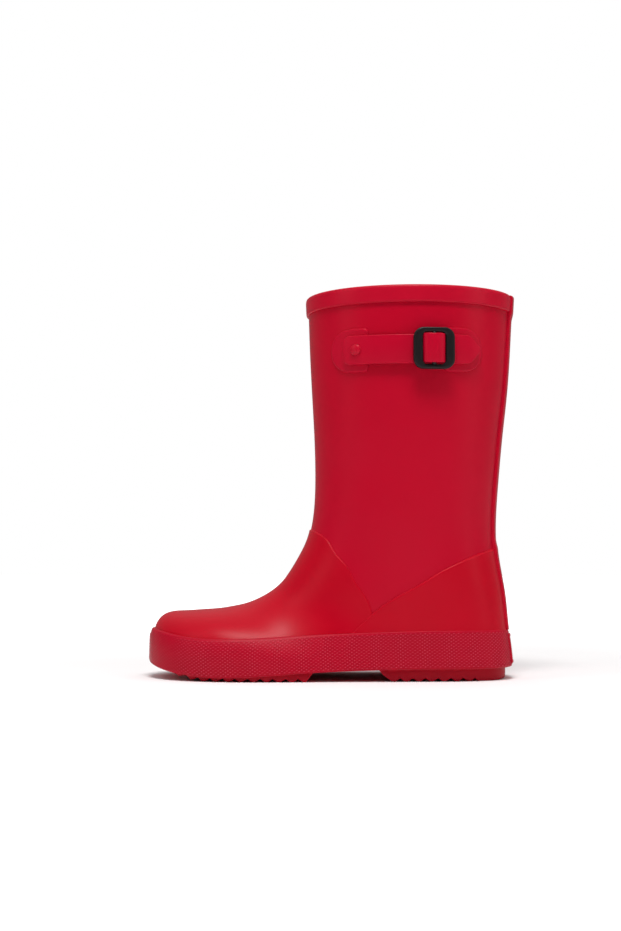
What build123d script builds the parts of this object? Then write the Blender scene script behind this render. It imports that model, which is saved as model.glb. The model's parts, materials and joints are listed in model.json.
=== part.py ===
from build123d import *
import os
from collections import namedtuple
from math import asin, cos, degrees, pi, radians, sin, sqrt

# Child's moulded rain boot, left foot.
# Frame: toe toward -X, outer (buckle) side toward -Y, +Z up.
# The origin is on the ground, on the flat of the heel tooth under the ankle.

# ---------------------------------------------------------------- driving sizes (mm)
boot_height = 188.0
wall = 2.6  # thickness of the moulded shell
sole_thickness = 4.0
board_thickness = 1.5
foam_thickness = 3.5
cloth_thickness = 0.8
insole_play = 0.5  # gap between the insole and the wall round it

vamp_raise = 0.6  # how far each layer stands off the shell
counter_raise = 0.9
stay_raise = 1.9
rim_raise = 1.2
rim_depth = 8.5
stay_width = 22.0
band_raise_heel = 1.2
band_raise_toe = 2.0

label_width = 22.0
label_low, label_high = 7.5, 22.0
label_thickness = 1.8
label_corner = 1.0

tooth_pitch = 6.0
tooth_land = 1.2  # flat on each tooth's tip
tooth_depth = 1.6
heel_inset = -0.5
heel_front_tooth = -24.0
heel_rear_tooth = 12.0
heel_breast = (-29.0, 3.0)  # foot of the heel's slanted front face, as (x, z)
heel_land = [(14.6, 1.4), (16.4, 0), (26, 0), (30, 0.6), (33, 2.0), (45, 2.0)]
arch_line = [(-62, 4.4), (-30, 5.6), (45, 5.8)]  # underside of the sole behind its teeth
toe_line = [(-152, 12.0), (-144, 8.0), (-132, 4.6)]  # underside of the sole before its teeth
sole_rear_tooth = -66.0
sole_front_tooth = -126.0
spring_start_x = -112.0  # the forefoot rises toward the toe from here
spring_rate = 0.012  # rise in mm for each squared mm past there

strap_height = 157.0  # height of the strap's centre line above the ground
strap_lean = 3.0  # degrees that the leg's side leans outward there
strap_middle_x = -15.0
side_y = -36.75  # outer side of the leg at the strap
side_radius = 65.0  # curvature of the leg's side, in plan
patch_raise = 1.0
strap_thickness = 1.8
strap_width = 13.8
strap_front_x, strap_rear_x = -47.5, 17.6
strap_tip_length = 6.2
patch_height = 21.0
patch_front_x = (-53.0, -35.5)
patch_rear_x = (0.5, 18.6)
strap_seat_play = 0.1  # clearance round the strap where it lies in the patches
strap_front_corner, strap_shoulder_corner, strap_tip_corner = 3.5, 1.0, 1.6

buckle_x = -5.0
buckle_size = 19.8
buckle_corner = 4.6
buckle_window = (10.8, 15.0)
buckle_thickness = 2.6
buckle_edge_round = 0.7
buckle_gap = 0.5  # clearance between the strap and the buckle's back
bar_radius = 1.2
bar_play = 0.2
loop_foot_round = 1.0  # where the strap turns up into the loop over the bar

rivet_x = -41.7
rivet_head_radius, rivet_head_height, rivet_head_round = 2.7, 1.3, 1.1
rivet_shank_radius = 1.2
washer_radius, washer_thickness = 4.0, 0.9

reach = 90.0  # half width of the cutting prisms, past either side of the boot
sky = 240.0  # height of the cutting prisms, past the top of the boot
through = 20.0  # depth of a cut from the strap's face through the leg's wall

# ---------------------------------------------------------------- the boot's form
# The leg and foot are one bent tube. Each station is a flat closed oval that runs
# from a point on the front or top line to a point on the back or bottom line.
# half_width is the oval's half width, widest_at the share of its length where it is
# widest, and the powers set how full its two ends are. nose is the share of an
# outward offset that goes toward the toe, and shift bends the foot to the inside.
Station = namedtuple(
    "Station",
    "front_x front_z back_x back_z half_width widest_at front_power back_power nose shift",
)
stations = [
    Station(-66.2, 208.0, 37.2, 208.0, 38.4, 0.50, 2.05, 2.05, 0.0, 0.0),
    Station(-65.5, 188.0, 35.7, 188.0, 37.9, 0.50, 2.05, 2.05, 0.0, 0.0),
    Station(-64.8, 165.0, 34.3, 165.0, 37.1, 0.50, 2.05, 2.05, 0.0, 0.0),
    Station(-63.6, 140.0, 32.4, 140.0, 35.8, 0.50, 2.05, 2.05, 0.0, 0.0),
    Station(-62.4, 117.0, 29.7, 117.0, 34.4, 0.50, 2.05, 2.05, 0.0, 0.0),
    Station(-62.0, 100.0, 27.7, 97.0, 33.2, 0.50, 2.05, 2.10, 0.0, 0.0),
    Station(-62.6, 83.0, 26.2, 77.0, 32.3, 0.50, 2.10, 2.15, 0.0, 0.0),
    Station(-65.0, 69.5, 26.7, 60.0, 31.4, 0.50, 2.10, 2.25, 0.0, 0.0),
    Station(-69.6, 59.3, 29.6, 42.0, 30.6, 0.50, 2.10, 2.40, 0.0, 0.0),
    Station(-75.6, 49.6, 31.6, 21.0, 30.0, 0.50, 2.10, 2.60, 0.0, 0.0),
    Station(-83.2, 42.1, 30.6, -8.0, 29.6, 0.50, 2.10, 2.70, 0.0, 0.0),
    Station(-91.8, 37.4, 8.0, -24.0, 30.3, 0.48, 2.15, 2.60, 0.0, 0.0),
    Station(-101.0, 34.7, -35.0, -26.0, 31.9, 0.45, 2.20, 2.50, 0.0, -0.4),
    Station(-110.0, 33.2, -75.0, -24.0, 33.0, 0.42, 2.25, 2.50, 0.0, -0.5),
    Station(-119.0, 32.5, -104.0, -22.0, 31.6, 0.42, 2.30, 2.50, 0.2, 0.3),
    Station(-127.5, 32.0, -122.0, -20.0, 27.3, 0.42, 2.35, 2.50, 0.45, 1.4),
    Station(-134.0, 31.4, -132.0, -18.0, 21.8, 0.42, 2.35, 2.50, 0.65, 2.4),
    Station(-138.0, 29.5, -137.2, -16.0, 16.6, 0.42, 2.35, 2.50, 0.82, 3.1),
    Station(-140.6, 26.2, -140.3, -14.0, 11.4, 0.42, 2.30, 2.50, 0.94, 3.5),
    Station(-142.0, 21.5, -142.0, -11.0, 5.5, 0.42, 2.20, 2.50, 1.0, 3.7),
]
oval_points = 28

# side lines, as (x, z): the edge of the sole, the top of the band round the foot,
# and the edges of the two raised layers
heel_top_line = [(-31, 5.6), (-14, 6.0), (45, 5.8)]
sole_line = [(-152, 13.0), (-144, 8.5), (-128, 3.6), (-107, 1.9), (-70, 3.9), *heel_top_line]
band_line = [
    (-152, 25.0),
    (-144, 24.2),
    (-125, 21.0),
    (-105, 20.0),
    (-70, 21.5),
    (-43, 22.8),
    (-14, 23.8),
    (45, 23.7),
]
vamp_edge = [
    (-72, 76.0),
    (-57, 68.5),
    (-52, 61.4),
    (-46, 54.3),
    (-42.4, 47.8),
    (-37.5, 40.7),
    (-34.3, 32.5),
    (-34, 15.0),
]
counter_edge = [
    (-52, 14.0),
    (-43.7, 23.0),
    (-34.4, 31.8),
    (-23, 39.8),
    (-13, 45.2),
    (-3, 51.2),
    (9, 57.2),
    (21, 61.7),
    (45, 68.0),
]


def signed_power(value, power):
    """value to a power, keeping its sign: bends a circle into a fuller oval."""
    return abs(value) ** power * (1 if value >= 0 else -1)


def boot_form(raise_heel, raise_toe=None):
    """The bent tube, standing raise_heel off the shell, or raise_toe at the toe."""
    raise_toe = raise_heel if raise_toe is None else raise_toe
    with BuildPart() as form:
        for number, s in enumerate(stations):
            toward_toe = min(1.0, max(0.0, number / (len(stations) - 1) * 3 - 1.6))
            raised = raise_heel + (raise_toe - raise_heel) * toward_toe
            length = sqrt((s.back_x - s.front_x) ** 2 + (s.back_z - s.front_z) ** 2)
            along = ((s.back_x - s.front_x) / length, (s.back_z - s.front_z) / length)
            outward = raised * sqrt(1 - s.nose**2)
            plane = Plane(
                origin=(s.front_x - raised * s.nose, 0, s.front_z),
                x_dir=(along[0], 0, along[1]),
                z_dir=(-along[1], 0, along[0]),
            )
            middle = s.widest_at * length
            points = []
            for i in range(oval_points):
                angle = 2 * pi * i / oval_points
                to_front = cos(angle) < 0
                half_length = (middle if to_front else length - middle) + outward
                power = 2 / (s.front_power if to_front else s.back_power)
                u = middle + half_length * signed_power(cos(angle), power)
                v = (s.half_width + outward) * signed_power(sin(angle), power) + s.shift
                points.append((u, v))
            half = oval_points // 2
            with BuildSketch(plane):
                with BuildLine():
                    Spline(*points[: half + 1])
                    Spline(*points[half:], points[0])
                make_face()
        loft()
    return form.part


def lifted(line, amount):
    """A side line moved straight up."""
    return [(x, z + amount) for x, z in line]


def between(low_line, high_line):
    """Everything between two side lines, right across the boot."""
    with BuildPart() as prism:
        with BuildSketch(Plane.XZ):
            with BuildLine():
                low = Spline(*low_line)
                high = Spline(*high_line)
                Line(low @ 0, high @ 0)
                Line(low @ 1, high @ 1)
            make_face()
        extrude(amount=reach, both=True)
    return prism.part


def toe_spring(x):
    """Height of a tooth's tip: on the ground under heel and ball, rising to the toe."""
    return spring_rate * max(0.0, spring_start_x - x) ** 2


def tread(front, rear, front_end, rear_end, high_line):
    """A sole profile with saw teeth from the front tooth to the rear tooth.

    front_end and rear_end are the rest of the underside, on either side of the teeth."""
    count = round((rear - front) / tooth_pitch)
    outline = list(front_end)
    for i in range(count + 1):
        x = front + i * tooth_pitch
        z = toe_spring(x)
        outline += [(x - tooth_land / 2, z), (x + tooth_land / 2, z)]
        if i < count:
            middle = x + tooth_pitch / 2
            outline.append((middle, toe_spring(middle) + tooth_depth))
    outline += rear_end
    with BuildPart() as prism:
        with BuildSketch(Plane.XZ):
            with BuildLine():
                top = Spline(*high_line)
                Polyline(top @ 0, *outline, top @ 1)
            make_face()
        extrude(amount=reach, both=True)
    return prism.part


shell_form = boot_form(0)
cavity_form = boot_form(-wall)
insole_form = boot_form(-wall - insole_play)
rim_form = boot_form(rim_raise)
vamp_form = boot_form(vamp_raise)
counter_form = boot_form(counter_raise)
stay_form = boot_form(stay_raise)
band_form = boot_form(band_raise_heel, band_raise_toe)
label_form = boot_form(band_raise_heel + label_thickness, band_raise_toe)
patch_form = boot_form(patch_raise)
heel_form = boot_form(heel_inset)

board_line = lifted(sole_line, sole_thickness)
foam_line = lifted(board_line, board_thickness)
cloth_line = lifted(foam_line, foam_thickness)
lining_line = lifted(cloth_line, cloth_thickness)
sky_line = lifted(sole_line, sky)

band_zone = between(sole_line, band_line)
above_board = between(board_line, sky_line)
above_band = between(band_line, sky_line)

# ---------------------------------------------------------------- leg and foot shell
with BuildPart() as shaft_shell:
    add(shell_form)
    add(above_board, mode=Mode.INTERSECT)
    add(cavity_form, mode=Mode.SUBTRACT)
    split(bisect_by=Plane.XY.offset(boot_height), keep=Keep.BOTTOM)

# ---------------------------------------------------------------- raised layers
counter_floor = [(counter_edge[0][0], -20), (counter_edge[-1][0], -20)]
counter_zone = between(counter_floor, counter_edge)
with BuildPart() as heel_counter:
    add(counter_form)
    add(counter_zone, mode=Mode.INTERSECT)
    add(above_band, mode=Mode.INTERSECT)
    add(shell_form, mode=Mode.SUBTRACT)

with BuildPart() as vamp_zone:
    with BuildSketch(Plane.XZ):
        with BuildLine():
            edge = Spline(*vamp_edge)
            before_toe = -160
            Polyline(edge @ 1, (before_toe, vamp_edge[-1][1]), (before_toe, vamp_edge[0][1]), edge @ 0)
        make_face()
    extrude(amount=reach, both=True)

with BuildPart() as vamp_overlay:
    add(vamp_form)
    add(vamp_zone.part, mode=Mode.INTERSECT)
    add(above_band, mode=Mode.INTERSECT)
    add(shell_form, mode=Mode.SUBTRACT)
    add(counter_zone, mode=Mode.SUBTRACT)

# ---------------------------------------------------------------- rim and back stay
with BuildPart() as rim_band:
    add(rim_form)
    split(bisect_by=Plane.XY.offset(boot_height), keep=Keep.BOTTOM)
    split(bisect_by=Plane.XY.offset(boot_height - rim_depth), keep=Keep.TOP)
    add(shell_form, mode=Mode.SUBTRACT)

with BuildPart() as stay_zone:
    with BuildSketch(Plane.YZ):
        with Locations((0, boot_height / 2)):
            Rectangle(stay_width, boot_height)
    extrude(amount=reach)

with BuildPart() as back_stay:
    add(stay_form)
    add(stay_zone.part, mode=Mode.INTERSECT)
    add(above_band, mode=Mode.INTERSECT)
    add(shell_form, mode=Mode.SUBTRACT)
    add(rim_band.part, mode=Mode.SUBTRACT)
    add(heel_counter.part, mode=Mode.SUBTRACT)

# ---------------------------------------------------------------- band, label and soles
with BuildPart() as foxing_band:
    add(band_form)
    add(band_zone, mode=Mode.INTERSECT)
    add(shell_form, mode=Mode.SUBTRACT)

with BuildPart() as label_zone:
    with BuildSketch(Plane.YZ):
        with Locations((0, (label_low + label_high) / 2)):
            RectangleRounded(label_width, label_high - label_low, label_corner)
    extrude(amount=reach)

with BuildPart() as heel_label:
    add(label_form)
    add(label_zone.part, mode=Mode.INTERSECT)
    add(band_form, mode=Mode.SUBTRACT)

with BuildPart() as outsole:
    add(shell_form)
    add(
        tread(sole_front_tooth, sole_rear_tooth, toe_line, arch_line, board_line),
        mode=Mode.INTERSECT,
    )

with BuildPart() as heel_block:
    add(heel_form)
    add(
        tread(heel_front_tooth, heel_rear_tooth, [heel_breast], heel_land, heel_top_line),
        mode=Mode.INTERSECT,
    )
    add(outsole.part, mode=Mode.SUBTRACT)

# ---------------------------------------------------------------- inside the foot
with BuildPart() as insole_board:
    add(cavity_form)
    add(between(board_line, foam_line), mode=Mode.INTERSECT)

with BuildPart() as insole:
    add(insole_form)
    add(between(foam_line, cloth_line), mode=Mode.INTERSECT)

with BuildPart() as insole_topcloth:
    add(insole_form)
    add(between(cloth_line, lining_line), mode=Mode.INTERSECT)

# ---------------------------------------------------------------- strap, frames of reference
# The strap lies on a stretch of the leg that is close to a cylinder. plan_plane is
# square to that cylinder's axis, and buckle_plane is the same turned to the buckle,
# so that the buckle and the strap's loop lie on its -Y half axis.
lean = radians(strap_lean)
axis_up = Vector(0, -sin(lean), cos(lean))
inward = Vector(0, cos(lean), sin(lean))
axis_point = Vector(strap_middle_x, side_y, strap_height) + inward * side_radius
strap_inner = side_radius + patch_raise
strap_outer = strap_inner + strap_thickness
bar_distance = strap_outer + buckle_gap + buckle_thickness / 2
loop_inner = bar_radius + bar_play
loop_outer = loop_inner + strap_thickness


def turned_to(x):
    """Degrees about the cylinder's axis from the strap's middle to a place at x."""
    return degrees(asin((x - strap_middle_x) / strap_outer))


def side_plane(x, distance):
    """A plane facing outward at a place on the cylinder, its Y along the axis."""
    angle = radians(turned_to(x))
    out = Vector(sin(angle), 0, 0) - inward * cos(angle)
    return Plane(origin=axis_point + out * distance, x_dir=axis_up.cross(out), z_dir=out)


plan_plane = Plane(origin=axis_point, x_dir=(1, 0, 0), z_dir=axis_up)
buckle_plane = plan_plane.rotated((0, 0, turned_to(buckle_x)))
front_plane = Plane(origin=axis_point, x_dir=(1, 0, 0), z_dir=-inward)


def patch_zone(flat_x, round_x):
    """A D seen from the side, straight at flat_x and round at round_x."""
    radius = patch_height / 2
    toward = 1 if round_x > flat_x else -1
    centre = round_x - toward * radius - strap_middle_x
    flat = flat_x - strap_middle_x
    with BuildPart() as zone:
        with BuildSketch(front_plane):
            with Locations((centre, 0)):
                Circle(radius)
            with Locations(((centre + flat) / 2, 0)):
                Rectangle(abs(centre - flat), patch_height)
            if abs(centre - flat) < radius:
                with Locations((flat - toward * radius, 0)):
                    Rectangle(2 * radius, patch_height, mode=Mode.SUBTRACT)
        extrude(amount=reach)
        split(bisect_by=Plane.XZ, keep=Keep.TOP)
    return zone.part


# ---------------------------------------------------------------- strap
strap_half = strap_width / 2
strap_front = strap_front_x - strap_middle_x
strap_rear = strap_rear_x - strap_middle_x
with BuildPart() as strap_outline:
    with BuildSketch(front_plane):
        with BuildLine():
            Polyline(
                (strap_front, strap_half),
                (strap_rear - strap_tip_length, strap_half),
                (strap_rear, 0),
                (strap_rear - strap_tip_length, -strap_half),
                (strap_front, -strap_half),
                close=True,
            )
        outline_face = make_face()
        corners = outline_face.vertices().sort_by(Axis.X)
        fillet(corners[:2], strap_front_corner)
        fillet(corners[2:4], strap_shoulder_corner)
        fillet(corners[-1], strap_tip_corner)
    extrude(amount=reach)

with BuildPart() as strap:
    with BuildSketch(buckle_plane) as strap_plan:
        Circle(strap_outer)
        with Locations((0, -(bar_distance + strap_inner) / 2)):
            Rectangle(2 * loop_outer, bar_distance - strap_inner)
        with Locations((0, -bar_distance)):
            Circle(loop_outer)
        loop_feet = strap_plan.vertices().sort_by_distance((0, -strap_outer))[:2]
        fillet(loop_feet, loop_foot_round)
        Circle(strap_inner, mode=Mode.SUBTRACT)
        with Locations((0, -(bar_distance + strap_inner) / 2 + 0.5)):
            Rectangle(2 * loop_inner, bar_distance - strap_inner + 1, mode=Mode.SUBTRACT)
        with Locations((0, -bar_distance)):
            Circle(loop_inner, mode=Mode.SUBTRACT)
    extrude(amount=strap_half + 1, both=True)
    add(strap_outline.part, mode=Mode.INTERSECT)

# ---------------------------------------------------------------- strap rivet and washer
rivet_seat = side_plane(rivet_x, strap_outer)
shank_length = strap_thickness + patch_raise + wall + washer_thickness
with BuildPart() as rivet_hole:
    with BuildSketch(rivet_seat):
        Circle(rivet_shank_radius)
    extrude(amount=-through)

with BuildPart() as strap_rivet:
    with BuildSketch(rivet_seat):
        Circle(rivet_head_radius)
    extrude(amount=rivet_head_height)
    head_face = strap_rivet.faces().sort_by(Axis(rivet_seat.origin, rivet_seat.z_dir))[-1]
    fillet(head_face.edges(), rivet_head_round)
    with BuildSketch(rivet_seat):
        Circle(rivet_shank_radius)
    extrude(amount=-shank_length)

with BuildPart() as washer_zone:
    with BuildSketch(rivet_seat):
        Circle(washer_radius)
    extrude(amount=-through)

# ---------------------------------------------------------------- strap patches
patches = {}
for name, (flat_x, round_x) in {
    "strap_patch_front": (patch_front_x[1], patch_front_x[0]),
    "strap_patch_rear": patch_rear_x,
}.items():
    with BuildPart() as patch:
        add(patch_form)
        add(patch_zone(flat_x, round_x), mode=Mode.INTERSECT)
        add(shell_form, mode=Mode.SUBTRACT)
        add(rivet_hole.part, mode=Mode.SUBTRACT)
        with BuildSketch(plan_plane):
            Circle(strap_outer + strap_seat_play)
            Circle(strap_inner - strap_seat_play, mode=Mode.SUBTRACT)
        extrude(amount=strap_half + strap_seat_play, both=True, mode=Mode.SUBTRACT)
    patches[name] = patch.part

with BuildPart() as rivet_washer:
    add(cavity_form)
    add(washer_zone.part, mode=Mode.INTERSECT)
    add(boot_form(-wall - washer_thickness), mode=Mode.SUBTRACT)
    add(rivet_hole.part, mode=Mode.SUBTRACT)

with BuildPart() as pierced_shell:
    add(shaft_shell.part)
    add(rivet_hole.part, mode=Mode.SUBTRACT)

with BuildPart() as pierced_strap:
    add(strap.part)
    add(rivet_hole.part, mode=Mode.SUBTRACT)

# ---------------------------------------------------------------- buckle
buckle_back = side_plane(buckle_x, strap_outer + buckle_gap)
with BuildPart() as buckle:
    with BuildSketch(buckle_back):
        RectangleRounded(buckle_size, buckle_size, buckle_corner)
        Rectangle(*buckle_window, mode=Mode.SUBTRACT)
    extrude(amount=buckle_thickness)
    front_face = buckle.faces().sort_by(Axis(buckle_back.origin, buckle_back.z_dir))[-1]
    fillet(front_face.outer_wire().edges(), buckle_edge_round)
    with BuildSketch(buckle_plane):
        with Locations((0, -bar_distance)):
            Circle(bar_radius)
    extrude(amount=buckle_window[1] / 2 + 0.5, both=True)

# ---------------------------------------------------------------- export
pieces = {
    "shaft_shell": pierced_shell.part,
    "vamp_overlay": vamp_overlay.part,
    "heel_counter": heel_counter.part,
    "back_stay": back_stay.part,
    "rim_band": rim_band.part,
    "foxing_band": foxing_band.part,
    "heel_label": heel_label.part,
    "outsole": outsole.part,
    "heel_block": heel_block.part,
    "insole_board": insole_board.part,
    "insole": insole.part,
    "insole_topcloth": insole_topcloth.part,
    "strap": pierced_strap.part,
    "strap_rivet": strap_rivet.part,
    "rivet_washer": rivet_washer.part,
    "buckle": buckle.part,
    **patches,
}
os.makedirs("parts", exist_ok=True)
for name, piece in pieces.items():
    piece.label = name
    export_step(piece, f"parts/{name}.step")
    print(f"{name:20s} {piece.volume / 1000:8.3f} cm3, {len(piece.solids())} solid")
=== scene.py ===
# %% [markdown]
# # A child's moulded rain boot
#
# A wellington like this one is a bent tube of soft red PVC. A knurled band joins it to
# its sole, a smooth rounded band finishes the top, and a strap with a square buckle
# sits on the outer side. This lesson rebuilds every visible piece as a surface worked
# out with numpy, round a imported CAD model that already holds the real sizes.
#
# The toe points to -X, the outer side with the buckle to -Y, and the ground is z = 0.

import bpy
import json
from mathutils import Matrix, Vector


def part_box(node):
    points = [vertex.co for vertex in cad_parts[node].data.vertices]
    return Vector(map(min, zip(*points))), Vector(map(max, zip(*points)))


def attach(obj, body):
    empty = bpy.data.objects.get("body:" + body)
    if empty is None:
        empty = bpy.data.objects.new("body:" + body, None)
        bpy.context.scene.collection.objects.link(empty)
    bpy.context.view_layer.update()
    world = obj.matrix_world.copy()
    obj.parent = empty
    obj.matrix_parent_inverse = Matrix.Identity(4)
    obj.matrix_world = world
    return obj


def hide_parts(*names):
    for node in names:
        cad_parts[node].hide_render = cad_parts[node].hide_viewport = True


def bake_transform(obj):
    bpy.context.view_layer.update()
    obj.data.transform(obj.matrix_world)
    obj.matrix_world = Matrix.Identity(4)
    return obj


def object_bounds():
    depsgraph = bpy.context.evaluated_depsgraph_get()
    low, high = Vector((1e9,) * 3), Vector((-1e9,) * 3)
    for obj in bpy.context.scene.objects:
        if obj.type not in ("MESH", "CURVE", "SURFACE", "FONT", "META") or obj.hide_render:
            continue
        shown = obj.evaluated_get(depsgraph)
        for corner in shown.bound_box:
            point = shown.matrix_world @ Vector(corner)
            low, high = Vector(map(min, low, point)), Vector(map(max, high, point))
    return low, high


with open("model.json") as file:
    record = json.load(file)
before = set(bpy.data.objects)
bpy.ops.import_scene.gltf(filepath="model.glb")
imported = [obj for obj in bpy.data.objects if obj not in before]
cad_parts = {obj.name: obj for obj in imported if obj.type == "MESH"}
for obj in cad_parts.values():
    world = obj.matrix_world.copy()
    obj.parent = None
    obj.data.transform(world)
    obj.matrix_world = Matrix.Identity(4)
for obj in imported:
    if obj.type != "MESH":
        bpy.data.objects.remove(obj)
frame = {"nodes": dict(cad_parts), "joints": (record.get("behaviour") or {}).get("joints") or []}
cad_low, cad_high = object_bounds()
print("CAD box", [round(v, 4) for v in (*cad_low, *cad_high)])

# %% Tools
import json
import math

import bmesh
import bpy
import numpy as np

MM = 0.001  # the shapes below are worked out in millimetres

# %% [markdown]
# ## Camera, floor and light
#
# The camera looks at the boot from the side, from about ankle height and well back, so
# that the boot keeps its proportions. The floor and the background are white. A strong
# soft box high in front throws the short shadow under the buckle, two tall ones at the
# sides draw a long highlight down each edge of the leg, and a faint dome fills the
# rest. The dome is dark where the camera stands, so the red keeps its full depth.

# %% Camera
camera_distance = 0.655
camera_azimuth = math.radians(2.0)
camera_height = 0.055
camera_pitch = math.radians(4.33)
focal_length = 50.8
middle = (cad_low + cad_high) / 2

camera_data = bpy.data.cameras.new("camera")
camera_data.sensor_width = 36.0
camera_data.lens = focal_length
camera_data.clip_start, camera_data.clip_end = 0.01, 20.0
camera = bpy.data.objects.new("camera", camera_data)
bpy.context.scene.collection.objects.link(camera)
camera_toward_toe = 0.0112
aim = (middle.x - camera_toward_toe, 0.0)
camera.location = (
    aim[0] + camera_distance * math.sin(camera_azimuth),
    aim[1] - camera_distance * math.cos(camera_azimuth),
    camera_height,
)
camera.rotation_euler = (math.pi / 2 + camera_pitch, 0.0, camera_azimuth)
bpy.context.scene.camera = camera
bpy.context.scene.view_settings.view_transform = "Standard"
print("camera", [round(v, 3) for v in camera.location], "lens", focal_length)

# %% [markdown]
# ## Colours and nodes
#
# Colours are written as they look on a screen, in sRGB hex, and shaders work in linear
# light, so one function turns the one into the other. A second function adds a node
# with its settings and its links, which keeps each material's recipe short.


# %% Colour and node helpers
def linear(hex_colour):
    """Linear RGBA of an sRGB hex colour, by the sRGB curve: a straight foot, then a power of 2.4."""
    values = np.array([int(hex_colour[i : i + 2], 16) for i in (1, 3, 5)]) / 255
    low = values / 12.92
    high = ((values + 0.055) / 1.055) ** 2.4
    return (*np.where(values <= 0.04045, low, high).tolist(), 1.0)


def add_node(tree, kind, settings=None, sockets=None, links=None):
    """A new node: settings are its properties, sockets its input values, links its incoming sockets."""
    made = tree.nodes.new(kind)
    for name, value in (settings or {}).items():
        setattr(made, name, value)
    for name, value in (sockets or {}).items():
        made.inputs[name].default_value = value
    for name, source in (links or {}).items():
        tree.links.new(source, made.inputs[name])
    return made


def new_material(name):
    """A material with an empty node tree and its output node."""
    material = bpy.data.materials.new(name)
    material.use_nodes = True
    material.node_tree.nodes.clear()
    output = add_node(material.node_tree, "ShaderNodeOutputMaterial")
    return material, material.node_tree, output


# %% Node helpers for patterns
def two_shades(tree, factor, dark, light):
    """A colour socket that goes from dark to light, both sRGB hex, as factor goes from 0 to 1."""
    mix = add_node(tree, "ShaderNodeMix", {"data_type": "RGBA"}, links={"Factor": factor})
    mix.inputs["A"].default_value = linear(dark)
    mix.inputs["B"].default_value = linear(light)
    return mix.outputs["Result"]


def between(tree, value, low, high, start=0.0, stop=1.0, smooth=False):
    """A number socket that goes from low to high as value goes from start to stop."""
    curve = {"interpolation_type": "SMOOTHSTEP" if smooth else "LINEAR"}
    ends = {"From Min": start, "From Max": stop, "To Min": low, "To Max": high}
    return add_node(tree, "ShaderNodeMapRange", curve, ends, {"Value": value}).outputs["Result"]


def noise(tree, place, size, **sockets):
    """A noise socket with clouds about size mm across."""
    scale = {"Scale": 1 / (size * MM), **sockets}
    return add_node(tree, "ShaderNodeTexNoise", sockets=scale, links={"Vector": place}).outputs["Fac"]


def relief(tree, pattern, depth):
    """A normal socket: the pattern as a relief, depth mm from its lowest to its highest."""
    bump = add_node(tree, "ShaderNodeBump", sockets={"Distance": depth * MM}, links={"Height": pattern})
    return bump.outputs["Normal"]


def finish(tree, output, sockets, links):
    """A Principled shader with constant sockets and linked ones, wired to the output."""
    shader = add_node(tree, "ShaderNodeBsdfPrincipled", sockets=sockets, links=links)
    tree.links.new(shader.outputs["BSDF"], output.inputs["Surface"])


def place_of(tree):
    """The socket that tells each point its place on its own piece, in metres."""
    return add_node(tree, "ShaderNodeTexCoord").outputs["Object"]


# %% Floor
floor_half = 6.0
floor_mesh = bpy.data.meshes.new("floor")
floor_corners = [(x * floor_half, y * floor_half, 0.0) for x, y in ((-1, -1), (1, -1), (1, 1), (-1, 1))]
floor_mesh.from_pydata(floor_corners, [], [(0, 1, 2, 3)])
floor = bpy.data.objects.new("floor", floor_mesh)
bpy.context.scene.collection.objects.link(floor)
near_boot, far_from_boot = 0.15, 0.8  # metres: the paper glows only far away, as a lit backdrop does
paper, paper_tree, paper_output = new_material("white_paper")
from_boot = add_node(
    paper_tree, "ShaderNodeVectorMath", {"operation": "LENGTH"}, links={0: place_of(paper_tree)}
).outputs["Value"]
far_away = between(paper_tree, from_boot, 0.0, 1.0, near_boot, far_from_boot, smooth=True)
paper_seen = add_node(paper_tree, "ShaderNodeLightPath").outputs["Is Camera Ray"]
backdrop = add_node(
    paper_tree, "ShaderNodeMath", {"operation": "MULTIPLY"}, links={0: far_away, 1: paper_seen}
).outputs["Value"]
paper_sockets = {"Roughness": 0.9, "Specular IOR Level": 0.1}
paper_sockets |= {"Base Color": linear("#fbfafa"), "Emission Color": linear("#ffffff")}
finish(paper_tree, paper_output, paper_sockets, {"Emission Strength": backdrop})
floor_mesh.materials.append(paper)
print(f"floor {2 * floor_half:.0f} m square")

# %% Dome of light
world = bpy.data.worlds.new("studio")
bpy.context.scene.world = world
world.use_nodes = True
sky = world.node_tree
sky.nodes.clear()
behind_strength, overhead_strength = 0.28, 0.5
direction = add_node(sky, "ShaderNodeTexCoord").outputs["Generated"]
split = add_node(sky, "ShaderNodeSeparateXYZ", links={"Vector": direction})
behind = between(sky, split.outputs["Y"], 0.0, behind_strength, -0.45, 0.65, smooth=True)
overhead = between(sky, split.outputs["Z"], 0.0, overhead_strength, 0.25, 1.0, smooth=True)
dome = add_node(sky, "ShaderNodeMath", {"operation": "ADD"}, links={0: behind, 1: overhead}).outputs["Value"]
seen = add_node(sky, "ShaderNodeLightPath").outputs["Is Camera Ray"]
strength = add_node(sky, "ShaderNodeMix", sockets={"B": 1.0}, links={"Factor": seen, "A": dome})
background = add_node(
    sky,
    "ShaderNodeBackground",
    sockets={"Color": linear("#ffffff")},
    links={"Strength": strength.outputs["Result"]},
)
add_node(sky, "ShaderNodeOutputWorld", links={"Surface": background.outputs["Background"]})
print("dome", behind_strength, "behind and", overhead_strength, "overhead")


# %% Soft boxes
def soft_box(name, place, size, power):
    """A rectangular area light at place, in metres, that faces the middle of the boot's leg."""
    data = bpy.data.lights.new(name, "AREA")
    data.shape = "RECTANGLE"
    data.size, data.size_y = size
    data.energy = power
    lamp = bpy.data.objects.new(name, data)
    bpy.context.scene.collection.objects.link(lamp)
    lamp.location = place
    lamp.rotation_euler = (middle - lamp.location).to_track_quat("-Z", "Y").to_euler()
    lamp.visible_camera = False
    print(f"{name}: {power} W from {place}")


soft_box("soft_box_toe_side", (-0.95, -0.55, 0.7), (0.3, 1.0), 1.9)
soft_box("soft_box_heel_side", (0.95, -0.45, 0.6), (0.3, 1.0), 1.9)
soft_box("soft_box_front", (0.0, -0.6, 1.35), (0.6, 0.35), 15.0)

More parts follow.
